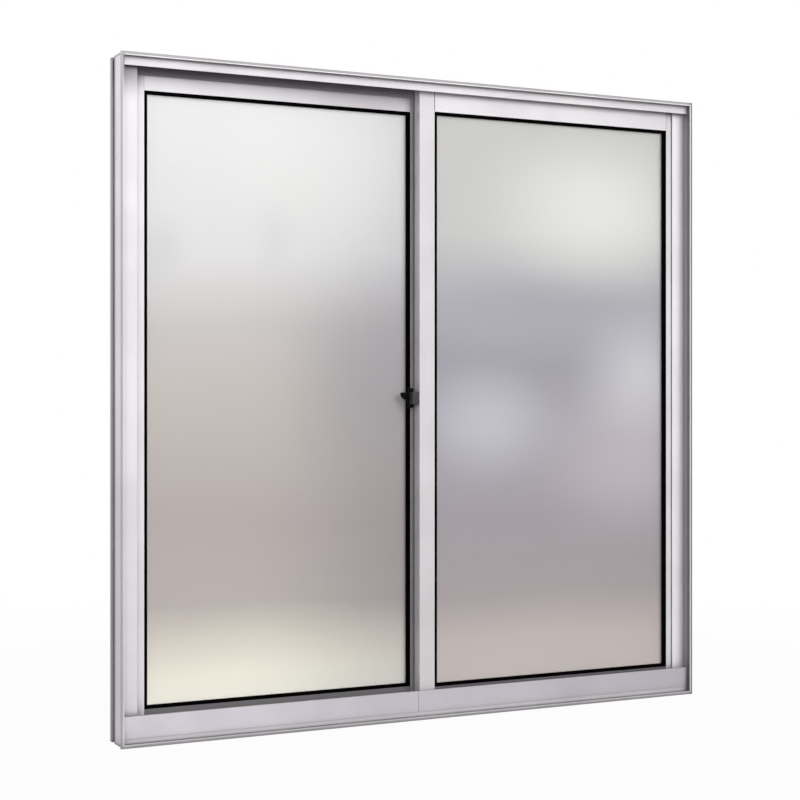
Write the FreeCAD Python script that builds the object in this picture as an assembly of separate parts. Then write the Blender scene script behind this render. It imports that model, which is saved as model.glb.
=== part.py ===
import FreeCAD, Part
import os

# A two-leaf horizontal sliding window in natural aluminium, seen from the room.
# X runs along the window, Y goes from the room side to the outside, Z is up.
# Sections are drawn as (across, deep): across is counted from the outer edge of the member
# towards the glass, and deep is counted from the room face of the lap lip outwards.

Vector = FreeCAD.Vector

# Overall size
width = 1000.0
height = 1000.0

# Walls of the extrusions
frame_wall = 1.4
sash_wall = 1.3

# Outer frame, across the member
lap = 4.0
lap_lip = 1.5
lap_edge = 0.9
anchor_groove_depth = 3.0
anchor_groove_width = 12.8
anchor_lip = 1.6
left_front_leg = 30.4
right_front_leg = 27.8
jamb_mid_leg = 38.4
jamb_rear_leg = 22.0
jamb_rear_channel = 16.0
head_front_lip = 17.9
head_mid_fin = 24.8
head_rear_leg = 22.0
sill_upstand = 43.1
sill_mid_fin = 22.0
sill_rear_leg = 20.0

# Outer frame and sashes, in depth
lip_setback = 9.2
leg_setback = 19.2
sash_depth = 17.2
side_clearance = 1.5

# Tracks that the rollers run on
track_top = 16.0
track_stem = 1.8
track_bead_radius = 1.6

# Screw ports of the head and sill
port_outer_radius = 2.8
port_inner_radius = 1.6
port_mouth = 1.4
sill_port_offset = 4.0

# Snap-on covers of the sill upstand
cover_sheet = 1.0
cover_bottom = 12.0
cover_back_leg = 9.0
cover_joint_x = -17.0
cover_joint_gap = 0.5

# Sashes
edge_gap = 3.0
meeting_overlap = 21.0
sash_width_difference = 5.6
sash_head_gap = 10.0
sash_sill_gap = 14.0
outer_stile_width = 30.0
meeting_stile_width = 26.5
top_rail_height = 36.5
bottom_rail_height = 32.1
pocket_depth = 13.0
guide_channel_depth = 10.0

# Pile groove in the outer edge of the outer stiles, and its strip
pile_groove_width = 7.0
pile_groove_depth = 1.8
pile_mouth_lip = 1.1
pile_lip_sheet = 0.9
pile_clearance = 0.3
pile_base = 1.2
pile_brush_width = 3.6

# Glass and gaskets
glass_sheet = 4.0
glass_setback = 6.5
glass_cover = 9.0
gasket_root = 7.0
gasket_room_sight = 5.0
gasket_outside_sight = 3.0
gasket_face_drop = 0.3
gasket_nose = 0.8

# Interlocks of the meeting stiles
interlock_sheet = 1.0
interlock_base = 8.0
interlock_gap = 2.0
interlock_tip_clearance = 1.6
interlock_end_gap = 2.0

# Rollers
roller_inset = 60.0
wheel_radius = 7.5
wheel_groove_depth = 1.5
wheel_groove_width = 4.6
wheel_thickness = 7.0
wheel_side_clearance = 0.3
wheel_track_clearance = 0.15
axle_radius = 1.5
axle_clearance = 0.05
carrier_length = 46.0
carrier_bottom = 17.0
carrier_side_clearance = 0.3
carrier_slot_length = 22.0

# Top guides
guide_length = 25.0
guide_slot_width = 8.0
guide_slot_depth = 5.5

# Drain slots of the sill
drain_slot_length = 25.0
drain_slot_height = 4.0
drain_inset = 200.0

# Fixing holes through the jambs
fixing_hole_radius = 2.6
fixing_inset = 150.0

# Catch on the meeting stile of the right sash
catch_height = 501.6
catch_plate_reach = 10.6
catch_plate_height = 19.6
catch_plate_setback = 1.7
catch_body_reach = 12.6
catch_body_height = 31.0
catch_body_depth = 5.0
catch_body_gap = 4.0
catch_rear_clearance = 2.4
catch_corner = 1.6
catch_plate_corner = 1.5
lever_reach = 12.0
lever_height = 12.0
lever_rise = 2.7
lever_depth = 3.6
keeper_height = 28.0
keeper_width = 5.0
keeper_sheet = 1.0

# Depths that follow from the sizes above
lip_back = lip_setback + frame_wall
front_leg_back = leg_setback + frame_wall
front_sash_face = front_leg_back + side_clearance
front_sash_back = front_sash_face + sash_depth
mid_face = front_sash_back + side_clearance
mid_back = mid_face + frame_wall
rear_sash_face = mid_back + side_clearance
rear_sash_back = rear_sash_face + sash_depth
rear_leg_face = rear_sash_back + side_clearance
frame_depth = rear_leg_face + frame_wall
front_track = front_sash_face + sash_depth / 2
rear_track = rear_sash_face + sash_depth / 2

# Inner faces of the outer wall and of the anchor groove
outer_in = lap + frame_wall
groove_in = lap + anchor_groove_depth + frame_wall
groove_back = mid_back + anchor_groove_width

# Sash size and places
clear_width = width - outer_in - edge_gap - jamb_rear_channel - edge_gap
left_sash_width = (clear_width + meeting_overlap - sash_width_difference) / 2
right_sash_width = left_sash_width + sash_width_difference
sash_height = height - sash_head_gap - sash_sill_gap
left_sash_x = -width / 2 + jamb_rear_channel + edge_gap
right_sash_x = width / 2 - outer_in - edge_gap - right_sash_width
glass_back = glass_setback + glass_sheet

# The origin is the middle of the flat underside of the sill, behind the lap lip
seat_middle = (lap_lip + mid_back) / 2
origin = Vector(0, seat_middle, lap)


def wall(across_0, across_1, deep_0, deep_1):
    """One straight wall of a section."""
    corners = [
        Vector(across_0, deep_0, 0),
        Vector(across_1, deep_0, 0),
        Vector(across_1, deep_1, 0),
        Vector(across_0, deep_1, 0),
        Vector(across_0, deep_0, 0),
    ]
    return Part.Face(Part.makePolygon(corners))


def disc(across, deep, radius):
    """A round bead of a section."""
    circle = Part.makeCircle(radius, Vector(across, deep, 0))
    return Part.Face(Part.Wire(circle))


def join(parts):
    """Several faces or solids as one clean shape."""
    whole = parts[0]
    if len(parts) > 1:
        whole = whole.multiFuse(parts[1:])
    return whole.removeSplitter()


def extrude(section, length):
    return join(section.extrude(Vector(0, 0, length)).Solids)


def block(x_0, x_1, y_0, y_1, z_0, z_1):
    return Part.makeBox(x_1 - x_0, y_1 - y_0, z_1 - z_0, Vector(x_0, y_0, z_0))


def mirror_x(shape):
    return shape.mirror(Vector(0, 0, 0), Vector(1, 0, 0))


def as_left_upright(shape, x, z):
    """Stand a member up with its outer edge on the left at x."""
    copy = shape.copy()
    copy.translate(Vector(x, 0, z))
    return copy


def as_bottom_bar(shape, x_end, z):
    """Lay a member down with its outer edge below; its length runs back from x_end."""
    copy = shape.copy()
    copy.rotate(Vector(0, 0, 0), Vector(0, 1, 0), -90)
    copy.translate(Vector(x_end, 0, z))
    return copy


def as_top_bar(shape, x_start, z):
    """Lay a member down with its outer edge above; its length runs on from x_start."""
    copy = shape.copy()
    copy.rotate(Vector(0, 0, 0), Vector(0, 1, 0), 90)
    copy.translate(Vector(x_start, 0, z))
    return copy


def without_offcuts(shape):
    """The member itself: what a cope separates from it falls away."""
    return max(join(shape.Solids).Solids, key=lambda solid: solid.Volume)


def save(name, shape):
    """Write one piece, moved so that the origin is on the seat of the sill."""
    piece = without_offcuts(shape)
    piece.translate(origin.negative())
    piece.exportStep("parts/" + name + ".step")
    print(name, len(piece.Solids), "solid", round(piece.Volume / 1000, 2), "cm3", piece.isValid())


# Sections of the outer frame

def shell_section():
    """Lap lip, outer wall and anchor groove: the same on all four members."""
    return join([
        wall(0, outer_in, 0, lap_lip),
        wall(lap, outer_in, 0, mid_back + anchor_lip),
        wall(lap, groove_in, mid_face, mid_back),
        wall(groove_in - frame_wall, groove_in, mid_face, groove_back + frame_wall),
        wall(lap, groove_in, groove_back, groove_back + frame_wall),
        wall(lap, outer_in, groove_back - anchor_lip, frame_depth),
    ])


def jamb_inner_section(front_leg):
    """Legs that hide the sash edges, and the raised bottom of the rear channel."""
    return join([
        wall(outer_in, front_leg, leg_setback, front_leg_back),
        wall(outer_in, jamb_mid_leg, mid_face, mid_back),
        wall(outer_in, jamb_rear_leg, rear_leg_face, frame_depth),
        wall(jamb_rear_channel - frame_wall, jamb_rear_channel, mid_back, rear_leg_face),
    ])


def port(across, deep):
    """A screw port: a ring with a mouth towards the glass."""
    ring = disc(across, deep, port_outer_radius).cut(disc(across, deep, port_inner_radius))
    mouth_end = across + port_outer_radius + frame_wall
    mouth = wall(across, mouth_end, deep - port_mouth / 2, deep + port_mouth / 2)
    return ring.cut(mouth)


def ports(front_deep, rear_deep):
    return [
        port(outer_in + port_inner_radius + frame_wall / 4, front_deep),
        port(groove_in + port_inner_radius + frame_wall / 4, rear_deep),
    ]


def track(base, deep):
    """A rail with a round top for a grooved wheel."""
    bead_middle = track_top - track_bead_radius
    stem = wall(base, bead_middle, deep - track_stem / 2, deep + track_stem / 2)
    return stem.fuse(disc(bead_middle, deep, track_bead_radius))


def head_fin_section():
    fins = [
        wall(outer_in, head_front_lip, lip_setback, lip_back),
        wall(outer_in, head_mid_fin, mid_face, mid_back),
        wall(outer_in, head_rear_leg, rear_leg_face, frame_depth),
    ]
    return fins + ports(front_track, rear_track)


def sill_fin_section():
    fins = [
        wall(outer_in, sill_upstand, lip_setback, lip_back),
        wall(outer_in, sill_mid_fin, mid_face, mid_back),
        wall(outer_in, sill_rear_leg, rear_leg_face, frame_depth),
        track(outer_in, front_track),
        track(groove_in, rear_track),
    ]
    return fins + ports(front_track - sill_port_offset, rear_track - sill_port_offset)


# Outer frame

bar_length = width - 2 * outer_in
bar_start = -bar_length / 2
bar_end = bar_length / 2

left_shell = as_left_upright(extrude(shell_section(), height), -width / 2, 0)
right_shell = mirror_x(left_shell)
shell_bar = extrude(shell_section(), bar_length)
head_shell = as_top_bar(shell_bar, bar_start, height).cut(left_shell).cut(right_shell)
sill_shell = as_bottom_bar(shell_bar, bar_end, 0).cut(left_shell).cut(right_shell)

above_sill = block(-width, width, 0, frame_depth, outer_in, height - outer_in)


def jamb(front_leg):
    """A jamb as it stands on the left; its leg on the room side is as wide as its channel needs."""
    inner = as_left_upright(extrude(jamb_inner_section(front_leg), height), -width / 2, 0)
    return left_shell.fuse(inner.common(above_sill).cut(head_shell).cut(sill_shell))


left_jamb = jamb(left_front_leg)
right_jamb = mirror_x(jamb(right_front_leg))


def bar_with_fins(shell, fins):
    """A head or sill whose fins are coped round the legs of the jambs."""
    return shell.fuse(fins.cut(left_jamb).cut(right_jamb))


head_fins = as_top_bar(extrude(join(head_fin_section()), bar_length), bar_start, height)
sill_fins = as_bottom_bar(extrude(join(sill_fin_section()), bar_length), bar_end, 0)
head = bar_with_fins(head_shell, head_fins)
sill = bar_with_fins(sill_shell, sill_fins)


def drain_slot(x, deep, bottom):
    """A round-ended slot through one fin of the sill."""
    radius = drain_slot_height / 2
    straight = drain_slot_length / 2 - radius
    middle = bottom + radius
    reach = frame_wall * 3
    start = deep - frame_wall
    slot = block(x - straight, x + straight, start, start + reach, bottom, bottom + drain_slot_height)
    for end in (x - straight, x + straight):
        slot = slot.fuse(Part.makeCylinder(radius, reach, Vector(end, start, middle), Vector(0, 1, 0)))
    return slot


for side in (-1, 1):
    slot_x = side * (width / 2 - drain_inset)
    sill = sill.cut(drain_slot(slot_x, rear_leg_face, groove_in))
    sill = sill.cut(drain_slot(slot_x - side * drain_slot_length, mid_face, groove_in))


def fixing_hole(x_side, deep, z):
    """A screw hole along X through every wall of the free channel of one jamb."""
    reach = jamb_rear_channel + frame_wall
    start = Vector(x_side * width / 2, deep, z)
    return Part.makeCylinder(fixing_hole_radius, reach, start, Vector(-x_side, 0, 0))


groove_middle = (mid_back + groove_back) / 2
for hole_z in (fixing_inset, height - fixing_inset):
    left_jamb = left_jamb.cut(fixing_hole(-1, front_track, hole_z))
    right_jamb = right_jamb.cut(fixing_hole(1, groove_middle, hole_z))


# Covers of the sill upstand

def cover_section():
    front = lip_setback - cover_sheet
    back = lip_back + cover_sheet
    top = sill_upstand + cover_sheet
    return join([
        wall(cover_bottom, top, front, lip_setback),
        wall(sill_upstand, top, front, back),
        wall(top - cover_back_leg, top, lip_back, back),
    ])


def sill_cover(x_start, x_end):
    cover = as_bottom_bar(extrude(cover_section(), x_end - x_start), x_end, 0)
    return cover.cut(left_jamb).cut(right_jamb)


# Sections of the sashes, in depth counted from the room face of the sash

def pocket_lips(member_width):
    tube = member_width - pocket_depth
    return [
        wall(tube, member_width, 0, sash_wall),
        wall(tube, member_width, sash_depth - sash_wall, sash_depth),
    ]


def tube_walls(member_width):
    tube = member_width - pocket_depth
    return [
        wall(0, tube, 0, sash_wall),
        wall(0, tube, sash_depth - sash_wall, sash_depth),
        wall(tube - sash_wall, tube, 0, sash_depth),
    ]


def meeting_stile_section():
    edge = wall(0, sash_wall, 0, sash_depth)
    return join(tube_walls(meeting_stile_width) + pocket_lips(meeting_stile_width) + [edge])


pile_groove_bottom = pile_lip_sheet + pile_groove_depth
pile_front = (sash_depth - pile_groove_width) / 2
pile_back = pile_front + pile_groove_width


def outer_stile_section():
    """The hollow stile with a T-shaped groove for the pile strip in its outer edge."""
    outside = pile_groove_bottom + sash_wall
    groove = [
        wall(0, sash_wall, 0, pile_front),
        wall(0, sash_wall, pile_back, sash_depth),
        wall(0, outside, pile_front - sash_wall, pile_front),
        wall(0, outside, pile_back, pile_back + sash_wall),
        wall(pile_groove_bottom, outside, pile_front, pile_back),
        wall(0, pile_lip_sheet, pile_front, pile_front + pile_mouth_lip),
        wall(0, pile_lip_sheet, pile_back - pile_mouth_lip, pile_back),
    ]
    return join(tube_walls(outer_stile_width) + pocket_lips(outer_stile_width) + groove)


def pile_section():
    """The strip: a flat base held in the groove and a brush that stands out to the jamb."""
    base_front = pile_front + pile_clearance
    base_back = pile_back - pile_clearance
    brush_front = (sash_depth - pile_brush_width) / 2
    brush_back = brush_front + pile_brush_width
    return join([
        wall(pile_groove_bottom - pile_base, pile_groove_bottom, base_front, base_back),
        wall(pile_clearance - edge_gap, pile_groove_bottom, brush_front, brush_back),
    ])


def rail_section(rail_height, with_guide_channel):
    """Two side walls, the web under the glazing pocket and, above, a guide channel."""
    pocket = rail_height - pocket_depth
    parts = [
        wall(0, rail_height, 0, sash_wall),
        wall(0, rail_height, sash_depth - sash_wall, sash_depth),
        wall(pocket - sash_wall, pocket, 0, sash_depth),
    ]
    if with_guide_channel:
        spine_front = (sash_depth - sash_wall) / 2
        middle = (guide_channel_depth + pocket) / 2
        ring = disc(middle, sash_depth / 2, port_outer_radius)
        spine = wall(guide_channel_depth, pocket, spine_front, spine_front + sash_wall)
        floor = wall(guide_channel_depth, guide_channel_depth + sash_wall, 0, sash_depth)
        bored = join([ring, spine, floor]).cut(disc(middle, sash_depth / 2, port_inner_radius))
        parts.append(bored)
    return join(parts)


def mitred_ring(outline, x_0, x_1, z_0, z_1):
    """A section carried round a rectangle with mitred corners; outline is (inward, deep)."""
    corners = [(x_0, z_0, 1, 1), (x_1, z_0, -1, 1), (x_1, z_1, -1, -1), (x_0, z_1, 1, -1)]
    ends = []
    for x, z, toward_x, toward_z in corners:
        points = [Vector(x + toward_x * inward, deep, z + toward_z * inward) for inward, deep in outline]
        ends.append(Part.makePolygon(points + [points[0]]))
    sides = []
    for first in range(4):
        sides.append(Part.makeLoft([ends[first], ends[(first + 1) % 4]], True, True))
    return join(sides)


room_gasket = [
    (-gasket_root, sash_wall),
    (0, sash_wall),
    (0, gasket_face_drop),
    (gasket_room_sight - gasket_nose, gasket_face_drop),
    (gasket_room_sight, gasket_face_drop + gasket_nose),
    (gasket_room_sight, glass_setback),
    (-gasket_root, glass_setback),
]
outside_gasket = [
    (-gasket_root, glass_back),
    (gasket_outside_sight, glass_back),
    (gasket_outside_sight, sash_depth - gasket_face_drop - gasket_nose),
    (gasket_outside_sight - gasket_nose, sash_depth - gasket_face_drop),
    (0, sash_depth - gasket_face_drop),
    (0, sash_depth - sash_wall),
    (-gasket_root, sash_depth - sash_wall),
]


# Rollers and guides, in depth counted from the room face of the sash

wheel_middle_z = track_top + wheel_track_clearance + wheel_radius - wheel_groove_depth
channel_front = sash_wall + carrier_side_clearance
channel_back = sash_depth - sash_wall - carrier_side_clearance
roller_web_z = sash_sill_gap + bottom_rail_height - pocket_depth - sash_wall


def roller_carrier(x):
    """A saddle pressed up under the web of the bottom rail, with a slot for its wheel."""
    half = carrier_length / 2
    body = block(x - half, x + half, channel_front, channel_back, carrier_bottom, roller_web_z)
    upright = [edge for edge in body.Edges if abs(edge.tangentAt(edge.FirstParameter).y) > 0.9]
    low = [edge for edge in upright if edge.CenterOfMass.z < carrier_bottom + 1]
    body = body.makeChamfer(4.0, low)
    slot_half = wheel_thickness / 2 + wheel_side_clearance
    middle = sash_depth / 2
    slot_top = wheel_middle_z + wheel_radius + wheel_side_clearance
    reach = carrier_slot_length / 2
    slot = block(x - reach, x + reach, middle - slot_half, middle + slot_half, 0, slot_top)
    axle_hole = Part.makeCylinder(
        axle_radius + axle_clearance, sash_depth, Vector(x, 0, wheel_middle_z), Vector(0, 1, 0))
    return body.cut(slot).cut(axle_hole)


def roller_wheel(x):
    """A grooved wheel on its axle, turned about Y."""
    half = wheel_thickness / 2
    groove = wheel_groove_width / 2
    axle_end = (channel_back - channel_front) / 2
    floor_radius = wheel_radius - wheel_groove_depth
    middle = sash_depth / 2
    outline = [
        (0, -axle_end),
        (axle_radius, -axle_end),
        (axle_radius, -half),
        (wheel_radius, -half),
        (wheel_radius, -groove),
        (floor_radius, 0),
        (wheel_radius, groove),
        (wheel_radius, half),
        (axle_radius, half),
        (axle_radius, axle_end),
        (0, axle_end),
    ]
    points = [Vector(x + radius, middle + along, wheel_middle_z) for radius, along in outline]
    face = Part.Face(Part.makePolygon(points + [points[0]]))
    return face.revolve(Vector(x, middle, wheel_middle_z), Vector(0, 1, 0), 360)


def top_guide(x_0, x_1):
    """A block in the open channel of the top rail, slotted for the screw port of the head."""
    top = height - sash_head_gap
    bottom = top - guide_channel_depth
    body = block(x_0, x_1, channel_front, channel_back, bottom, top)
    slot_front = (sash_depth - guide_slot_width) / 2
    slot_back = slot_front + guide_slot_width
    slot = block(x_0, x_1, slot_front, slot_back, top - guide_slot_depth, top)
    return body.cut(slot)


def sash(side, x_left, x_right, face, meeting_on_right):
    """Every piece of one sash, in its track."""
    bottom = sash_sill_gap
    top = height - sash_head_gap
    outer = extrude(outer_stile_section(), sash_height)
    pile = extrude(pile_section(), sash_height)
    meeting = extrude(meeting_stile_section(), sash_height)
    if meeting_on_right:
        left_width = outer_stile_width
        right_width = meeting_stile_width
        outer = as_left_upright(outer, x_left, bottom)
        pile = as_left_upright(pile, x_left, bottom)
        meeting = mirror_x(as_left_upright(meeting, -x_right, bottom))
    else:
        left_width = meeting_stile_width
        right_width = outer_stile_width
        outer = mirror_x(as_left_upright(outer, -x_right, bottom))
        pile = mirror_x(as_left_upright(pile, -x_right, bottom))
        meeting = as_left_upright(meeting, x_left, bottom)
    rail_x_0 = x_left + left_width
    rail_x_1 = x_right - right_width
    rail_z_0 = bottom + bottom_rail_height
    rail_z_1 = top - top_rail_height
    rail_length = rail_x_1 - rail_x_0
    top_rail = as_top_bar(extrude(rail_section(top_rail_height, True), rail_length), rail_x_0, top)
    bottom_bar = extrude(rail_section(bottom_rail_height, False), rail_length)
    bottom_rail = as_bottom_bar(bottom_bar, rail_x_1, bottom)
    glass = block(
        rail_x_0 - glass_cover, rail_x_1 + glass_cover, glass_setback, glass_back,
        rail_z_0 - glass_cover, rail_z_1 + glass_cover)
    pieces = {
        "outer_stile": outer,
        "meeting_stile": meeting,
        "side_seal": pile,
        "top_rail": top_rail,
        "bottom_rail": bottom_rail,
        "glass": glass,
        "room_gasket": mitred_ring(room_gasket, rail_x_0, rail_x_1, rail_z_0, rail_z_1),
        "outside_gasket": mitred_ring(outside_gasket, rail_x_0, rail_x_1, rail_z_0, rail_z_1),
    }
    for end, x in (("left", rail_x_0 + roller_inset), ("right", rail_x_1 - roller_inset)):
        pieces["roller_carrier_" + end] = roller_carrier(x)
        pieces["roller_wheel_" + end] = roller_wheel(x)
    pieces["top_guide_left"] = top_guide(rail_x_0, rail_x_0 + guide_length)
    pieces["top_guide_right"] = top_guide(rail_x_1 - guide_length, rail_x_1)
    for name, piece in pieces.items():
        piece.translate(Vector(0, face, 0))
        save(side + "_sash_" + name, piece)


# Interlocks between the meeting stiles

interlock_z_0 = sill_mid_fin + interlock_end_gap
interlock_z_1 = height - head_mid_fin - interlock_end_gap
interlock_middle = (right_sash_x + left_sash_x + left_sash_width) / 2


def interlock_section(stile_face, toward, x_riser):
    """A flat strip on a stile and a riser that reaches past the riser of the other sash."""
    base_end = x_riser - toward * interlock_base
    strip = wall(min(x_riser, base_end), max(x_riser, base_end),
                 min(stile_face, stile_face + toward * interlock_sheet),
                 max(stile_face, stile_face + toward * interlock_sheet))
    far_face = rear_sash_face if toward > 0 else front_sash_back
    tip = far_face - toward * interlock_tip_clearance
    riser = wall(min(x_riser, x_riser - toward * interlock_sheet),
                 max(x_riser, x_riser - toward * interlock_sheet),
                 min(stile_face, tip), max(stile_face, tip))
    return join([strip, riser])


def interlock(stile_face, toward):
    x_riser = interlock_middle - toward * interlock_gap / 2
    bar = extrude(interlock_section(stile_face, toward, x_riser), interlock_z_1 - interlock_z_0)
    bar.translate(Vector(0, 0, interlock_z_0))
    return bar


# Catch on the side of the meeting stile of the right sash

def catch_pieces():
    stile_x = right_sash_x
    plate_x = stile_x - catch_plate_reach
    body_x = stile_x - catch_body_reach
    body_back = rear_sash_face - catch_rear_clearance
    body_front = body_back - catch_body_depth
    half_plate = catch_plate_height / 2
    half_body = catch_body_height / 2
    plate = block(
        plate_x, stile_x, front_sash_face + catch_plate_setback, body_front,
        catch_height - half_plate, catch_height + half_plate)
    body = block(
        body_x, stile_x - catch_body_gap, body_front, body_back,
        catch_height - half_body, catch_height + half_body)
    outer_edges = [edge for edge in body.Edges if edge.CenterOfMass.x < body_x + 1]
    body = body.makeFillet(catch_corner, outer_edges)
    plate_edges = [edge for edge in plate.Edges if edge.CenterOfMass.x < plate_x + 0.1]
    plate_face = front_sash_face + catch_plate_setback
    plate_front = [edge for edge in plate_edges if edge.CenterOfMass.y < plate_face + 0.1]
    plate = plate.makeFillet(catch_plate_corner, plate_front)
    lever_x = body_x - lever_reach
    lever_middle = (body_front + body_back) / 2
    half_depth = lever_depth / 2
    lever_top = catch_height + lever_rise + lever_height / 2
    lever_bottom = lever_top - lever_height
    tip_middle = lever_bottom + lever_height * 0.7
    outline = Part.Wire([
        Part.makeLine(Vector(body_x, 0, lever_bottom), Vector(body_x, 0, lever_top)),
        Part.makeLine(Vector(body_x, 0, lever_top), Vector(lever_x, 0, lever_top)),
        Part.makeLine(Vector(lever_x, 0, lever_top), Vector(lever_x, 0, tip_middle)),
        Part.Arc(
            Vector(lever_x, 0, tip_middle),
            Vector(lever_x + lever_reach * 0.35, 0, lever_bottom + lever_height * 0.2),
            Vector(body_x, 0, lever_bottom)).toShape(),
    ])
    lever = Part.Face(outline).extrude(Vector(0, lever_depth, 0))
    lever.translate(Vector(0, lever_middle - half_depth, 0))
    keeper_x = left_sash_x + left_sash_width - meeting_stile_width
    keeper = block(
        keeper_x, keeper_x + keeper_width, rear_sash_face - keeper_sheet, rear_sash_face,
        catch_height - keeper_height / 2, catch_height + keeper_height / 2)
    return {"catch_plate": plate, "catch_body": body, "catch_lever": lever, "catch_keeper": keeper}


# The sloping outer edge of the lap lip, carried round the whole frame

lap_corner = Part.Face(Part.makePolygon([
    Vector(-lap_edge, -lap_edge, 0),
    Vector(2 * lap_edge, -lap_edge, 0),
    Vector(-lap_edge, 2 * lap_edge, 0),
    Vector(-lap_edge, -lap_edge, 0),
]))
slope_upright = as_left_upright(extrude(lap_corner, height), -width / 2, 0)
slope_bar = extrude(lap_corner, width)
lap_slope = [
    slope_upright,
    mirror_x(slope_upright),
    as_top_bar(slope_bar, -width / 2, height),
    as_bottom_bar(slope_bar, width / 2, 0),
]

os.makedirs("parts", exist_ok=True)
save("head_frame", head.cut(lap_slope))
save("sill_frame", sill.cut(lap_slope))
save("left_jamb", left_jamb.cut(lap_slope))
save("right_jamb", right_jamb.cut(lap_slope))
save("sill_cover_left", sill_cover(bar_start, cover_joint_x - cover_joint_gap / 2))
save("sill_cover_right", sill_cover(cover_joint_x + cover_joint_gap / 2, bar_end))
sash("left", left_sash_x, left_sash_x + left_sash_width, rear_sash_face, True)
sash("right", right_sash_x, right_sash_x + right_sash_width, front_sash_face, False)
save("right_sash_interlock", interlock(front_sash_back, 1))
save("left_sash_interlock", interlock(rear_sash_face, -1))
for catch_name, catch_piece in catch_pieces().items():
    save(catch_name, catch_piece)
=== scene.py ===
# %% [markdown]
# A sliding window in Blender. The extruded members, panes and rollers come from the engineering
# model, so this lesson is about finish: how bare metal, frosted glass and black rubber are told
# apart by their colour, gloss and grain, and which small pieces make a frame look assembled.

# %% Load the frame
import math

import bmesh
import bpy
from mathutils import Matrix, Vector


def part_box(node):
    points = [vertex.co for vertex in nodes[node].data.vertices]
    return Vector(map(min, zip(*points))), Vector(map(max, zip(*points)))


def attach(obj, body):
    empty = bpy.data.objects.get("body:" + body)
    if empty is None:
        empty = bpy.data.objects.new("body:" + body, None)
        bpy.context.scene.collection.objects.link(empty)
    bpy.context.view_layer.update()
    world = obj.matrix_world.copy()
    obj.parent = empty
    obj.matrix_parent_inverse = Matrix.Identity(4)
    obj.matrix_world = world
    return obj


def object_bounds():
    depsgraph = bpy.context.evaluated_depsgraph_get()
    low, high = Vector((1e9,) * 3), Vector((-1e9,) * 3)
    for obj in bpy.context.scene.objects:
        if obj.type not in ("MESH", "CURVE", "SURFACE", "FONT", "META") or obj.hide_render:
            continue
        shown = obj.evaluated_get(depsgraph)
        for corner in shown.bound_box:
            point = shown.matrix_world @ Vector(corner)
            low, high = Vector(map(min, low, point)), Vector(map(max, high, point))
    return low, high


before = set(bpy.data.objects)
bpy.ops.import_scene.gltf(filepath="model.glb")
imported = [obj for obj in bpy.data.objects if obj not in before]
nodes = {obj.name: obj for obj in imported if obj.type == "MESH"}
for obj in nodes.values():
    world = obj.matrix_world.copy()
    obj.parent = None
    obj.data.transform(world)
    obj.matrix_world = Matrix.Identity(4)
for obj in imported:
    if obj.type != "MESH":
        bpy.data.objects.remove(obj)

cad_low, cad_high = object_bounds()
print("pieces from the model:", len(nodes))
print("box in metres:", [round(high - low, 4) for low, high in zip(cad_low, cad_high)])

# %% [markdown]
# Colours are easier to choose as they look on a screen, from 0 to 255, but Blender wants linear
# light. One small function turns one into the other, and every finish below uses it.

# %% Colours and small lengths
MM = 0.001
SCREEN_WHITE = 255


def tone(red, green, blue):
    """A screen colour as linear light, by the sRGB curve, with full alpha."""
    linear = []
    for level in (red, green, blue):
        share = level / SCREEN_WHITE
        linear.append(share / 12.92 if share <= 0.04045 else ((share + 0.055) / 1.055) ** 2.4)
    return (*linear, 1.0)


print("a middle grey of 128 is", round(tone(128, 128, 128)[0], 3), "in linear light")

# %% [markdown]
# Shader nodes read badly as long lists of links. Here a socket is wrapped in a small class, so
# that `1 - mask * 0.5` in the script adds the Math nodes that work it out. The sums are for
# numbers only: a Math node would turn a colour grey.

# %% Shader sums as Python


class Level:
    """A socket whose value varies over a surface."""

    def __init__(self, shader, socket):
        self.shader = shader
        self.socket = socket

    def math(self, operation, first, second):
        return self.shader.node("ShaderNodeMath", {"operation": operation}, {0: first, 1: second})

    def __add__(self, other):
        return self.math("ADD", self, other)

    __radd__ = __add__

    def __sub__(self, other):
        return self.math("SUBTRACT", self, other)

    def __rsub__(self, other):
        return self.math("SUBTRACT", other, self)

    def __mul__(self, other):
        return self.math("MULTIPLY", self, other)

    __rmul__ = __mul__

    def __truediv__(self, other):
        return self.math("DIVIDE", self, other)

    def __rtruediv__(self, other):
        return self.math("DIVIDE", other, self)

    def __pow__(self, other):
        return self.math("POWER", self, other)

    def __rpow__(self, other):
        return self.math("POWER", other, self)

    def __abs__(self):
        return self.math("ABSOLUTE", self, 0.0)

    def larger(self, other):
        return self.math("MAXIMUM", self, other)

    def smaller(self, other):
        return self.math("MINIMUM", self, other)


print("sums and differences of sockets ready")

# %% [markdown]
# Every other node comes from one method, which takes its type, its settings and what its sockets
# are fed with. The short methods after it give names to the few nodes that this window needs:
# noise, a smooth step, a mix of two colours, a bump and the kind of a ray.

# %% Shader nodes by name


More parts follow.
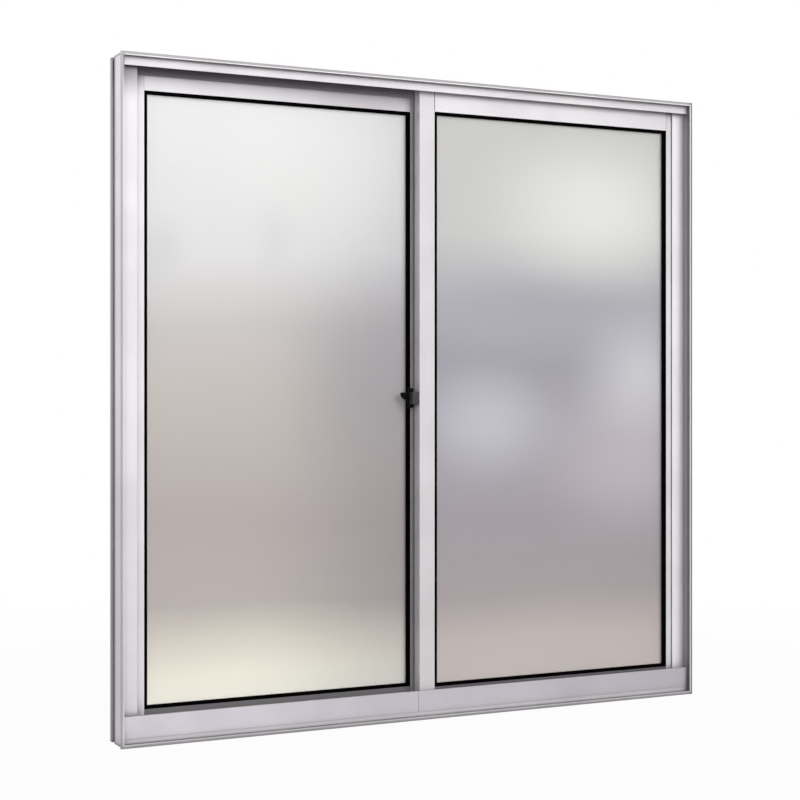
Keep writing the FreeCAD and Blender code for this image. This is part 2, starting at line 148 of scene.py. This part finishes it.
class Shader:
    """A material or world whose nodes are added one at a time."""

    def __init__(self, owner):
        owner.use_nodes = True
        self.owner = owner
        self.tree = owner.node_tree
        self.tree.nodes.clear()

    def node(self, kind, settings=None, feeds=None, output=0):
        made = self.tree.nodes.new(kind)
        for name, value in (settings or {}).items():
            if name == "stops":
                self.set_stops(made.color_ramp, value)
            else:
                setattr(made, name, value)
        for key, value in (feeds or {}).items():
            if isinstance(value, Level):
                self.tree.links.new(value.socket, made.inputs[key])
            else:
                made.inputs[key].default_value = value
        return Level(self, made.outputs[output]) if made.outputs else None

    def set_stops(self, ramp, stops):
        while len(ramp.elements) > 1:
            ramp.elements.remove(ramp.elements[-1])
        for index, (place, colour) in enumerate(stops):
            stop = ramp.elements[0] if index == 0 else ramp.elements.new(place)
            stop.position = place
            stop.color = colour

    def place(self):
        """The point on the piece, in metres."""
        return self.node("ShaderNodeTexCoord", output="Object")

    def axes(self, point):
        """The three numbers of a point."""
        split = self.node("ShaderNodeSeparateXYZ", feeds={0: point})
        outputs = split.socket.node.outputs
        return [Level(self, outputs[index]) for index in range(3)]

    def stretched(self, point, scale):
        return self.node("ShaderNodeVectorMath", {"operation": "MULTIPLY"}, {0: point, 1: scale})

    def noise(self, point, scale, detail):
        return self.node("ShaderNodeTexNoise", feeds={"Vector": point, "Scale": scale, "Detail": detail})

    def span(self, value, low, high, out_low=0.0, out_high=1.0):
        """A smooth step from out_low at low to out_high at high."""
        return self.node("ShaderNodeMapRange", {"interpolation_type": "SMOOTHSTEP"}, {
            0: value, 1: low, 2: high, 3: out_low, 4: out_high})

    def mix(self, share, first, second, blend="MIX"):
        """The first colour, with this share of the second blended in."""
        return self.node("ShaderNodeMix", {"data_type": "RGBA", "blend_type": blend},
                         {0: share, 6: first, 7: second}, output=2)

    def bump(self, height, distance, strength):
        return self.node("ShaderNodeBump", feeds={
            "Height": height, "Distance": distance, "Strength": strength})

    def ray(self, kind):
        """1 for a ray of this kind, and 0 for any other."""
        return self.node("ShaderNodeLightPath", output=kind)

    def surface(self, feeds):
        """The finish itself, joined to the output."""
        shade = self.node("ShaderNodeBsdfPrincipled", feeds=feeds)
        self.node("ShaderNodeOutputMaterial", feeds={0: shade})
        return self.owner


def material(name):
    return Shader(bpy.data.materials.new(name))


print("shader helpers ready")

# %% [markdown]
# The frame and sashes are extruded aluminium with a natural satin anodised skin. Three things
# make it read as that and not as grey paint: it is metal, it is half matt, and the die has left
# fine lines along each length. The lines come from noise that is squeezed across the member and
# drawn out along it, so uprights and bars need the same finish turned by a quarter. A wide soft
# cloud and a fine grain go with them, because no real skin is quite even.

# %% Anodised skin
ALONG_X, ALONG_Z = 0, 2
SKIN_LIGHT = tone(231, 228, 231)
SKIN_DIM = tone(221, 217, 221)
DIE_LINES = 900.0
DIE_LENGTH = 2.5
CLOUD_SCALE = 9.0
GRAIN_SCALE = 1500.0
LINES_IN_COLOUR = 0.2
TINT_LOW, TINT_HIGH = 0.35, 0.65


def skin(shader, point, along, light, dim):
    """The colour, the die lines and the grain of a member that lies along this axis."""
    squeeze = [DIE_LINES, DIE_LINES, DIE_LINES]
    squeeze[along] = DIE_LENGTH
    lines = shader.noise(shader.stretched(point, squeeze), 1.0, detail=2.0)
    cloud = shader.noise(point, CLOUD_SCALE, detail=4.0)
    grain = shader.noise(point, GRAIN_SCALE, detail=2.0)
    tint = cloud * (1 - LINES_IN_COLOUR) + lines * LINES_IN_COLOUR
    return shader.mix(shader.span(tint, TINT_LOW, TINT_HIGH), dim, light), lines, grain


print("die lines per metre across the member:", DIE_LINES)

# %% [markdown]
# The shades that follow need to know where on the window a point lies and which way its face
# looks. The place comes from the object's own coordinates, and the direction from the face's
# normal. Direction times place is large for a face of the frame that looks away from the
# window's middle, an outer side, and as far below zero for one that looks towards it, an inward
# return. The lap is the thin lip that stands out all round.

# %% Where a point of the frame lies
MIDDLE_UP = (cad_low.z + cad_high.z) / 2
JAMB_FROM, JAMB_FULL = 0.478, 0.482
LAP_FROM, LAP_FULL = 0.4962, 0.4966
AWAY_LOW, AWAY_HIGH = 0.36, 0.48
ROOM_FULL, ROOM_NONE = -0.6, -0.3


class Spot:
    """Where a point of the frame lies, and which way it faces."""

    def __init__(self, shader, point):
        self.across, self.back, self.up = shader.axes(point)
        height = self.up - MIDDLE_UP
        turn_x, turn_y, turn_z = shader.axes(shader.node("ShaderNodeNewGeometry", output="Normal"))
        in_jamb = shader.span(abs(self.across), JAMB_FROM, JAMB_FULL)
        outward = turn_x * self.across * in_jamb + turn_z * height
        self.inner = shader.span(outward, -AWAY_HIGH, -AWAY_LOW, 1.0, 0.0)
        self.outer = shader.span(outward, AWAY_LOW, AWAY_HIGH)
        self.to_room = shader.span(turn_y, ROOM_FULL, ROOM_NONE, 1.0, 0.0)
        self.lap = shader.span(abs(self.across).larger(abs(height)), LAP_FROM, LAP_FULL)


print("middle of the window at a height of", round(MIDDLE_UP, 3), "m")

# %% [markdown]
# A soft studio lamp lights every corner of such a frame, but the eye expects the channels to be
# dark. So shade is painted into the skin: it is a shade greyer where the metal is closed in,
# found by ambient occlusion, on the inward returns and most of all at their front, on the back
# half of the outer sides, and on the lap.

# %% Painted shade in the channels
RECESS_REACH = 40 * MM
OPEN_LOW, OPEN_HIGH = 0.35, 0.78
# Painted shade: the two greys that stand for shade in the channels and on faces towards the room.
PAINTED_RECESS_SHADE = tone(120, 116, 120)
SHADE_TONE = tone(88, 85, 89)
CLOSED_SHARE = 0.72
RETURN_SHARE = 0.62
LIP_FRONT, LIP_BACK = -17 * MM, -10 * MM
LIP_SHARE = 0.75
SIDE_FRONT, SIDE_BACK = 14 * MM, 19 * MM
SIDE_SHARE_FRONT, SIDE_SHARE_BACK = 0.18, 0.85
LAP_SHARE = 0.58


def channel_shade(shader, spot, colour, closed, inner, lap):
    """The last three are shares of painted shade: in a recess, on an inward return and on the lap."""
    open_share = shader.node("ShaderNodeAmbientOcclusion", {"samples": 8}, {"Distance": RECESS_REACH}, "AO")
    colour = shader.mix(shader.span(open_share, OPEN_LOW, OPEN_HIGH, closed, 0.0), colour, PAINTED_RECESS_SHADE)
    colour = shader.mix(spot.inner * inner, colour, PAINTED_RECESS_SHADE)
    at_lip = shader.span(spot.back, LIP_FRONT, LIP_BACK, LIP_SHARE, 0.0)
    colour = shader.mix(spot.inner * at_lip, colour, SHADE_TONE)
    behind = shader.span(spot.back, SIDE_FRONT, SIDE_BACK, SIDE_SHARE_FRONT, SIDE_SHARE_BACK)
    colour = shader.mix(spot.outer * behind, colour, PAINTED_RECESS_SHADE)
    return shader.mix(spot.lap * lap, colour, PAINTED_RECESS_SHADE)


print("channels darken within", round(RECESS_REACH / MM), "mm")

# %% [markdown]
# Faces that look into the room get a further painted shade where the real frame lies in shade:
# evenly where a member lies behind the sill upstand, more and more to the right, near the top, on
# the left leg just under the head lip, and on the fin of the head between its two tracks. Each is a
# share, and the shares add up.

# %% Painted shade on the faces towards the room
TOP_LOW, TOP_HIGH = 0.80, 0.99
UNDER_LOW, UNDER_HIGH = 0.925, 0.98
LEG_INNER, LEG_OUTER = -0.43, -0.48
FIN_FRONT, FIN_BACK = 12 * MM, 16 * MM


def room_shade(shader, spot, colour, even, right, top, under, fin):
    shade = shader.span(spot.across, cad_low.x, cad_high.x) * right + even
    shade = shade + shader.span(spot.up, TOP_LOW, TOP_HIGH) * top
    on_leg = shader.span(spot.across, LEG_OUTER, LEG_INNER, under, 0.0) * (1 - spot.lap)
    shade = shade + shader.span(spot.up, UNDER_LOW, UNDER_HIGH) * on_leg
    shade = shade + shader.span(spot.back, FIN_FRONT, FIN_BACK) * fin
    return shader.mix(shade * spot.to_room, colour, SHADE_TONE)


print("shade under the head lip is", round((UNDER_HIGH - UNDER_LOW) / MM), "mm high")

# %% [markdown]
# Now the whole finish. It is one function for all the metal, so the members keep the same grain
# and gloss, and only the tones and the shares of painted shade differ. The relief is two hundredths
# of a millimetre: enough to break up a highlight, and too little to see as a groove.

# %% Satin aluminium
SKIN_METAL = 0.40
SKIN_ROUGH = 0.34
LINES_IN_GLOSS = 0.08
GRAIN_IN_GLOSS = 0.06
GRAIN_IN_RELIEF = 0.4
SKIN_RELIEF = 0.02 * MM
SKIN_RELIEF_STRENGTH = 0.2


def aluminium(name, along, light=SKIN_LIGHT, dim=SKIN_DIM, closed=CLOSED_SHARE, inner=RETURN_SHARE,
              lap=LAP_SHARE, even=0.0, right=0.0, top=0.0, under=0.0, fin=0.0):
    shader = material("satin_aluminium_" + name)
    point = shader.place()
    colour, lines, grain = skin(shader, point, along, light, dim)
    spot = Spot(shader, point)
    colour = channel_shade(shader, spot, colour, closed, inner, lap)
    colour = room_shade(shader, spot, colour, even, right, top, under, fin)
    return shader.surface({
        "Base Color": colour, "Metallic": SKIN_METAL,
        "Roughness": SKIN_ROUGH + lines * LINES_IN_GLOSS + grain * GRAIN_IN_GLOSS,
        "Normal": shader.bump(lines + grain * GRAIN_IN_RELIEF, SKIN_RELIEF, SKIN_RELIEF_STRENGTH)})


print("roughness of the skin from", SKIN_ROUGH)

# %% [markdown]
# Each group of members gets its own shares of painted shade. The top rail and the meeting stile
# of the outside sash lie deeper and are painted darker, and the bottom rails behind the sill upstand
# darker still. The head is painted darker on its fin, with a shade that fades towards the right.
# The right jamb is painted brighter, as a lit copy of the skin, with more painted shade on its
# returns and its lap. The sill cover, which is a separate clip-on strip, has a faint violet, and a
# painted shade that grows to the right.

# %% The nine metal finishes
COVER_LIGHT = tone(224, 218, 226)
COVER_DIM = tone(213, 207, 215)
# Painted light: a lighter copy of the skin for the right jamb.
PAINTED_LIT_LIGHT = tone(250, 246, 249)
PAINTED_LIT_DIM = tone(242, 238, 241)

upright = aluminium("upright", ALONG_Z, top=0.08, under=0.68)
bar = aluminium("bar", ALONG_X)
bar_under_lip = aluminium("under_lip", ALONG_X, even=0.12, right=0.55)
bar_behind_cover = aluminium("behind_cover", ALONG_X, even=0.85)
cover = aluminium("cover", ALONG_X, COVER_LIGHT, COVER_DIM, even=0.02, right=0.25)
bar_head = aluminium("head", ALONG_X, closed=0.28, even=0.14, right=-0.12, fin=0.72)
upright_middle = aluminium("middle", ALONG_Z, closed=0.0, even=0.10, top=0.08)
upright_behind = aluminium("behind", ALONG_Z, closed=0.10, even=0.66)
upright_right = aluminium("right", ALONG_Z, PAINTED_LIT_LIGHT, PAINTED_LIT_DIM, closed=0.50, inner=0.82, lap=0.95)
print("metal finishes: 9")

# %% [markdown]
# The panes are frosted: daylight comes through, but what is behind is smeared to soft patches.
# A real blur would need a landscape behind the window. It is simpler and steadier to paint the
# light and shade of that blur into the glass's colour: a ramp over the height, a painted darkening
# to one side and a few wide patches, all in the glass's own coordinates, so they stay put when the
# camera moves. Part of the light passes through, and the faces keep the soft gloss of etched glass.

# %% Frosted glass
GLASS_GLOSS = 0.34
GLASS_THROUGH = 0.60
GLASS_INDEX = 1.5
DRIFT_SCALE = 2.2
DRIFT_SHARE = 0.06
FROST_SCALE = 700.0
FROST_GLOSS = 0.12
FROST_RELIEF = 0.03 * MM
FROST_STRENGTH = 0.3


def patch(shader, across, up, middle, size):
    """A soft round patch: 1 in its middle and 0 at its rim."""
    dx = (across - middle[0]) / size[0]
    dz = (up - middle[1]) / size[1]
    return shader.span((dx * dx + dz * dz) ** 0.5, 0.0, 1.0, 1.0, 0.0)


def frosted(name, low, high, bands, patches, side=None):
    shader = material(name)
    point = shader.place()
    across, _, up = shader.axes(point)
    drift = shader.noise(point, DRIFT_SCALE, detail=1.0) - 0.5
    height = (up - low.z) / (high.z - low.z) + drift * DRIFT_SHARE
    colour = shader.node("ShaderNodeValToRGB", {"stops": bands}, {0: height})
    # Painted shade, darker towards one side of the pane.
    if side:
        start, end, dark = side
        reach = (across - low.x) / (high.x - low.x)
        colour = shader.mix(shader.span(reach, start, end), colour, dark, "MULTIPLY")
    for middle, size, strength, light in patches:
        colour = shader.mix(patch(shader, across, up, middle, size) * strength, colour, light)
    frost = shader.noise(point, FROST_SCALE, detail=3.0)
    return shader.surface({
        "Base Color": colour, "Roughness": GLASS_GLOSS + frost * FROST_GLOSS, "IOR": GLASS_INDEX,
        "Transmission Weight": GLASS_THROUGH, "Normal": shader.bump(frost, FROST_RELIEF, FROST_STRENGTH)})


print("light that passes through the glass:", GLASS_THROUGH)

# %% [markdown]
# The left pane's painted light is bright at the top and has a warm pale band at its foot, and it
# darkens towards the middle of the window. Heights of the bands are shares of the pane, and the
# middles and sizes of the patches are in metres, across and up.

# %% Left pane
left_low, left_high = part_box("left_sash_glass")
left_glass = frosted(
    "frosted_glass_left", left_low, left_high,
    bands=[
        (0.00, tone(253, 251, 241)),
        (0.05, tone(244, 241, 229)),
        (0.09, tone(230, 225, 214)),
        (0.16, tone(196, 188, 184)),
        (0.30, tone(191, 182, 180)),
        (0.50, tone(202, 196, 191)),
        (0.62, tone(207, 203, 202)),
        (0.74, tone(227, 226, 226)),
        (0.95, tone(232, 232, 232)),
    ],
    patches=[
        ((-0.06, 0.52), (0.20, 0.22), 0.45, tone(160, 157, 166)),
        ((-0.12, 0.86), (0.24, 0.28), 0.40, tone(246, 247, 243)),
        ((-0.42, 0.72), (0.05, 0.07), 0.35, tone(204, 203, 206)),
        ((-0.24, 0.74), (0.05, 0.08), 0.30, tone(206, 205, 207)),
    ],
    side=(0.35, 1.05, tone(222, 222, 226)),
)
print("left pane:", [round(v, 3) for v in (left_high - left_low)], "m")

# %% [markdown]
# The right pane's painted light is greyer, with a cool band at half height and a few soft
# patches. It has no painted darkening to one side.

# %% Right pane
right_low, right_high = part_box("right_sash_glass")
right_glass = frosted(
    "frosted_glass_right", right_low, right_high,
    bands=[
        (0.00, tone(210, 202, 198)),
        (0.08, tone(205, 196, 193)),
        (0.16, tone(180, 172, 173)),
        (0.30, tone(174, 168, 174)),
        (0.46, tone(184, 180, 188)),
        (0.56, tone(171, 168, 177)),
        (0.66, tone(184, 183, 190)),
        (0.78, tone(206, 206, 205)),
        (0.98, tone(203, 203, 200)),
    ],
    patches=[
        ((0.33, 0.81), (0.28, 0.17), 0.80, tone(238, 238, 234)),
        ((0.12, 0.46), (0.15, 0.12), 0.65, tone(211, 212, 220)),
        ((0.42, 0.53), (0.17, 0.15), 0.80, tone(220, 219, 223)),
        ((0.40, 0.38), (0.24, 0.15), 0.55, tone(214, 205, 208)),
        ((0.22, 0.66), (0.30, 0.06), 0.35, tone(166, 163, 170)),
    ],
)
print("right pane:", [round(v, 3) for v in (right_high - right_low)], "m")

# %% [markdown]
# Everything dark on this window is dark in its own way. Gasket rubber is matt, the catch is
# moulded with a fine spark-eroded grain, and the brush strips are woven fibre. The differences
# are mostly in roughness and relief, so each gets its own small recipe.

# %% Rubber, plastics and pile
WEAR_SCALE = 25.0
WEAR_LOW, WEAR_HIGH = 0.35, 0.7
SPECK_GLOSS = 0.12
SPECK_STRENGTH = 0.5


def grained(name, dark, light, grain, rough, relief, metallic=0.0, shine=0.5):
    """Fine specks over soft wear. Grain is specks to the metre, and relief their depth."""
    shader = material(name)
    point = shader.place()
    speck = shader.noise(point, grain, detail=3.0)
    wear = shader.noise(point, WEAR_SCALE, detail=4.0)
    colour = shader.mix(shader.span((wear + speck) * 0.5, WEAR_LOW, WEAR_HIGH), dark, light)
    return shader.surface({
        "Base Color": colour, "Metallic": metallic, "Roughness": rough + speck * SPECK_GLOSS,
        "Specular IOR Level": shine, "Normal": shader.bump(speck, relief, SPECK_STRENGTH)})


rubber = grained("gasket_rubber", tone(1, 1, 1), tone(5, 5, 5), 1800.0, 0.62, 0.04 * MM, shine=0.01)
catch_black = grained("moulded_black", tone(4, 4, 5), tone(12, 12, 13), 2600.0, 0.42, 0.05 * MM, shine=0.07)
catch_metal = grained("dark_catch_metal", tone(52, 52, 56), tone(76, 75, 80), 2000.0, 0.42, 0.03 * MM, 0.3)
carrier_black = grained("roller_carrier_black", tone(26, 26, 27), tone(44, 44, 46), 1500.0, 0.45, 0.04 * MM)
wheel_white = grained("wheel_nylon", tone(222, 220, 208), tone(236, 234, 224), 1300.0, 0.35, 0.03 * MM)
pile = grained("woven_pile", tone(54, 54, 57), tone(92, 92, 96), 3000.0, 0.85, 0.2 * MM)
joint_grey = grained("joint_compound", tone(44, 42, 45), tone(62, 60, 63), 900.0, 0.7, 0.03 * MM, shine=0.1)
print("small finishes: 7")

# %% [markdown]
# Each piece of the model gets its finish by the part of its name that says what it is. The list
# is read from the top, so the exceptions come first. What is left at the end stands upright: the
# left jamb, the outer stiles and the interlocks.

# %% Give every piece its finish
FINISHES = [
    ("left_sash_glass", left_glass),
    ("right_sash_glass", right_glass),
    ("gasket", rubber),
    ("seal", pile),
    ("wheel", wheel_white),
    ("carrier", carrier_black),
    ("guide", carrier_black),
    ("catch_plate", catch_metal),
    ("catch_keeper", catch_metal),
    ("catch", catch_black),
    ("left_sash_top_rail", bar_under_lip),
    ("right_sash_top_rail", bar_head),
    ("bottom_rail", bar_behind_cover),
    ("sill_cover", cover),
    ("right_sash_meeting_stile", upright_middle),
    ("left_sash_meeting_stile", upright_behind),
    ("right_jamb", upright_right),
    ("head", bar_head),
    ("sill", bar),
    ("", upright),
]
for name, piece in nodes.items():
    finish = next(found for word, found in FINISHES if word in name)
    piece.data.materials.clear()
    piece.data.materials.append(finish)
    for face in piece.data.polygons:
        face.material_index = 0
print("finished", len(nodes), "pieces")

# %% [markdown]
# The sash corners are cut square and screwed together, with a little grey compound in the joint
# to keep water out. On the face it shows as a hairline where a rail meets a stile. A line this
# fine is a strip a hair proud of the metal: simpler and cleaner than a groove cut in two members.

# %% Joint lines on the sash faces
LINE_PROUD = 0.06 * MM
LINE_DEPTH = 0.5 * MM
LINE_WIDTHS = {
    "right_sash_top_rail": (1.0 * MM, 0.35 * MM),
    "left_sash_top_rail": (0.20 * MM, 0.60 * MM),
}


def add(shape, name, finish):
    """Put a new piece of this shape on the window."""
    bmesh.ops.recalc_face_normals(shape, faces=shape.faces)
    mesh = bpy.data.meshes.new(name)
    shape.to_mesh(mesh)
    shape.free()
    mesh.materials.append(finish)
    piece = bpy.data.objects.new(name, mesh)
    bpy.context.scene.collection.objects.link(piece)
    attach(piece, "root")


def strip(name, low, high, finish):
    shape = bmesh.new()
    size = Vector(high) - Vector(low)
    bmesh.ops.create_cube(shape, size=1.0)
    bmesh.ops.scale(shape, vec=size, verts=shape.verts)
    bmesh.ops.translate(shape, vec=(Vector(high) + Vector(low)) / 2, verts=shape.verts)
    add(shape, name, finish)


for rail, widths in LINE_WIDTHS.items():
    rail_low, rail_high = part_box(rail)
    for side, end, width in zip(("left", "right"), (rail_low.x, rail_high.x), widths):
        strip(
            rail + "_joint_" + side,
            (end - width / 2, rail_low.y - LINE_PROUD, rail_low.z + MM),
            (end + width / 2, rail_low.y + LINE_DEPTH, rail_high.z - MM),
            joint_grey)
print("joint lines:", 2 * len(LINE_WIDTHS))

# %% [markdown]
# Screws are what make a frame look put together. Each is a turned profile of rings joined by
# walls. Its cross recess is made by filling the top between the rim and a cross outline and then
# pushing the cross down, so that no cutting tool is needed.

# %% A pan-headed screw
RIM_STEPS = 24
SHOULDER = 0.5
CROWN = 0.12
CROWN_RADIUS = 0.9
RECESS_ARM = 0.62
RECESS_WIDTH = 0.17
RECESS_DEPTH = 0.6


def turned(shape, profile):
    """Walls round Z through these radii and heights, closed below. Gives the top ring."""
    rings = []
    for radius, height in profile:
        ring = []
        for step in range(RIM_STEPS):
            turn = math.tau * step / RIM_STEPS
            ring.append(shape.verts.new((radius * math.cos(turn), radius * math.sin(turn), height)))
        rings.append(ring)
    for lower, upper in zip(rings, rings[1:]):
        for step in range(RIM_STEPS):
            after = (step + 1) % RIM_STEPS
            shape.faces.new((lower[step], lower[after], upper[after], upper[step]))
    shape.faces.new(reversed(rings[0]))
    return rings[-1]


def cross_outline(shape, radius, height):
    arm = radius * RECESS_ARM
    half = radius * RECESS_WIDTH
    outline = []
    for quarter in range(4):
        for x, y in ((arm, -half), (arm, half), (half, half)):
            for _ in range(quarter):
                x, y = -y, x
            outline.append(shape.verts.new((x, y, height)))
    return outline


def recessed_top(shape, rim, outline, depth):
    edges = []
    for ring in (rim, outline):
        for first, second in zip(ring, ring[1:] + ring[:1]):
            edges.append(shape.edges.get((first, second)) or shape.edges.new((first, second)))
    bmesh.ops.triangle_fill(shape, edges=edges, use_beauty=True)
    bottom = shape.faces.get(outline) or shape.faces.new(outline)
    pushed = bmesh.ops.extrude_discrete_faces(shape, faces=[bottom])["faces"][0]
    for vert in pushed.verts:
        vert.co.z -= depth


def screw(name, tip, top, size, finish):
    """A screw from its tip to the top of its head. Size is head radius, head height, shank radius."""
    radius, height, shank = size
    axis = Vector(top) - Vector(tip)
    under_head = axis.length - height
    crown = axis.length - height * CROWN
    shape = bmesh.new()
    rim = turned(shape, [
        (shank, 0.0), (shank, under_head), (radius, under_head),
        (radius, axis.length - height * SHOULDER), (radius * CROWN_RADIUS, crown)])
    recessed_top(shape, rim, cross_outline(shape, radius, crown), height * RECESS_DEPTH)
    turn = axis.to_track_quat("Z", "Y").to_matrix().to_4x4()
    bmesh.ops.transform(shape, matrix=Matrix.Translation(tip) @ turn, verts=shape.verts)
    add(shape, name, finish)


print("steps round a screw head:", RIM_STEPS)

# %% [markdown]
# One small screw holds the catch block to the side of its stile. Four wall screws go through the
# free channels of the jambs, which are the room-side one at the left and the outside one at the
# right. They have the frame's own finish, because their ends come out flush in its outer sides.

# %% Put the screws in
CATCH_SCREW = (2.6 * MM, 1.2 * MM, 1.2 * MM)
CATCH_SCREW_PROUD = 0.7 * MM
CATCH_SCREW_IN = 4 * MM
WALL_SCREW = (4.4 * MM, 2.4 * MM, 2.5 * MM)
WALL_SCREW_TIP, WALL_SCREW_TOP = 0.4957, 0.4905
WALL_SCREW_SIDES = {"left": (-1, 8.85 * MM), "right": (1, 26.75 * MM)}
WALL_SCREW_HEIGHTS = {"low": 0.146, "high": 0.846}

plate_low, plate_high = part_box("catch_plate")
catch_middle = ((plate_low.y + plate_high.y) / 2, (plate_low.z + plate_high.z) / 2)
screw("catch_screw", (plate_low.x + CATCH_SCREW_IN, *catch_middle),
      (plate_low.x - CATCH_SCREW_PROUD, *catch_middle), CATCH_SCREW, catch_metal)
for side, (way, depth) in WALL_SCREW_SIDES.items():
    for end, height in WALL_SCREW_HEIGHTS.items():
        screw("wall_screw_" + side + "_" + end, (way * WALL_SCREW_TIP, depth, height),
              (way * WALL_SCREW_TOP, depth, height), WALL_SCREW, upright)
print("screws:", 1 + len(WALL_SCREW_SIDES) * len(WALL_SCREW_HEIGHTS))

# %% [markdown]
# The window stands on a pale floor. Seen by the camera, or through the glass, the floor is almost
# plain white and keeps only a hint of the window's shadow near it. For light that bounces off it
# the floor is a middle grey, so that it doesn't throw too much light up into the channels.

# %% Floor
FLOOR_HALF = 30.0
FLOOR_GAP = 0.5 * MM
FLOOR_SPECK = 60.0
FLOOR_DARK = tone(128, 128, 128)
FLOOR_LIGHT = tone(136, 136, 136)
FLOOR_IN_METAL = 0.5
SHADOW_CLEAR = 0.97
SHADOW_NEAR = 0.5
SHADOW_FAR = 1.8
WHITE = (1, 1, 1, 1)


def floor_finish():
    shader = material("pale_floor")
    point = shader.place()
    grey = shader.mix(shader.noise(point, FLOOR_SPECK, detail=2.0), FLOOR_DARK, FLOOR_LIGHT)
    plain = shader.node("ShaderNodeBsdfDiffuse", feeds={"Color": grey})
    white = shader.node("ShaderNodeEmission", feeds={"Color": WHITE, "Strength": 1.0})
    across, back, _ = shader.axes(point)
    far = shader.span((across * across + back * back) ** 0.5, SHADOW_NEAR, SHADOW_FAR)
    seen = shader.ray("Is Camera Ray") + shader.ray("Is Transmission Ray")
    seen = (seen + shader.ray("Is Glossy Ray") * FLOOR_IN_METAL).smaller(1.0)
    clear = SHADOW_CLEAR + (1 - SHADOW_CLEAR) * far
    both = shader.node("ShaderNodeMixShader", feeds={0: seen * clear, 1: plain, 2: white})
    shader.node("ShaderNodeOutputMaterial", feeds={0: both})
    return shader.owner


shape = bmesh.new()
bmesh.ops.create_grid(shape, x_segments=8, y_segments=8, size=FLOOR_HALF)
floor_mesh = bpy.data.meshes.new("floor")
shape.to_mesh(floor_mesh)
shape.free()
floor_mesh.materials.append(floor_finish())
floor = bpy.data.objects.new("floor", floor_mesh)
floor.location = (0, 0, cad_low.z - FLOOR_GAP)
bpy.context.scene.collection.objects.link(floor)
print("floor at a height of", round(floor.location.z, 4), "m")

# %% [markdown]
# Round the window is a studio that the camera sees as plain white. Metal mirrors it as bright in
# front and on the left, and dimmer on the right, behind and below, and this gives the returns
# and undersides their dark edges. As a source of light it is kept low, so that the lamps do the
# work. Each glow is four numbers: two places along one direction, and the strength at each.

# %% Surround
AMBIENT = 0.12
GLOW_BACK = (-0.25, 0.55, 0.95, 0.55)
GLOW_SIDE = (0.2, 0.50, 2.0, 0.6)
GLOW_UP = (-0.25, 0.25, 0.75, 1.05)

studio = bpy.data.worlds.new("studio")
bpy.context.scene.world = studio
shader = Shader(studio)
side, back, up = shader.axes(shader.node("ShaderNodeTexCoord", output="Generated"))
room = shader.span(back, *GLOW_BACK) * shader.span(side, *GLOW_SIDE) * shader.span(up, *GLOW_UP)
seen = (shader.ray("Is Camera Ray") + shader.ray("Is Transmission Ray")).smaller(1.0)
glossy = shader.ray("Is Glossy Ray")
light = glossy * room + (1 - glossy) * AMBIENT
strength = seen + (1 - seen) * light
sky = shader.node("ShaderNodeBackground", feeds={"Color": WHITE, "Strength": strength})
shader.node("ShaderNodeOutputWorld", feeds={0: sky})
print("surround light:", AMBIENT)

# %% [markdown]
# The light is plain: one wide soft lamp from the front and right, a weaker one from the left, and
# a small one behind on the left for the outer side. All three are hidden from mirror-like rays,
# so that none shows as a glint in the metal.

# %% Lamps
WINDOW_MIDDLE = (cad_low + cad_high) / 2


def lamp(name, location, size, power):
    """A soft lamp of this width and height that looks at the middle of the window."""
    data = bpy.data.lights.new(name, "AREA")
    data.shape = "RECTANGLE"
    data.size, data.size_y = size
    data.energy = power
    piece = bpy.data.objects.new(name, data)
    piece.location = location
    way = WINDOW_MIDDLE - Vector(location)
    piece.rotation_euler = way.to_track_quat("-Z", "Y").to_euler()
    piece.visible_glossy = False
    bpy.context.scene.collection.objects.link(piece)


lamp("key", (2.2, -5.2, 3.2), (3.2, 3.2), 296.0)
lamp("fill", (-1.4, -2.8, 1.0), (1.2, 1.2), 40.0)
lamp("rim", (-2.6, 1.2, 1.2), (1.4, 1.8), 60.0)
print("lamps: 3")

# %% [markdown]
# The camera stands to the left of the window at about half its height and looks level, with a
# long lens. The lens is moved down by a hair in place of a tilt, so that uprights stay upright.

# %% Camera
CAMERA_PLACE = (-1.2322, -2.3762, 0.5099)
CAMERA_TURN = 26.593
CAMERA_LENS = 76.584
CAMERA_SHIFT = -0.01226

eye = bpy.data.cameras.new("camera")
eye.lens = CAMERA_LENS
eye.shift_y = CAMERA_SHIFT
camera = bpy.data.objects.new("camera", eye)
camera.location = CAMERA_PLACE
camera.rotation_euler = (math.radians(90), 0, math.radians(-CAMERA_TURN))
bpy.context.scene.collection.objects.link(camera)
bpy.context.scene.camera = camera
bpy.context.scene.view_settings.view_transform = "Standard"
print("camera looks", CAMERA_TURN, "degrees to the right of square")
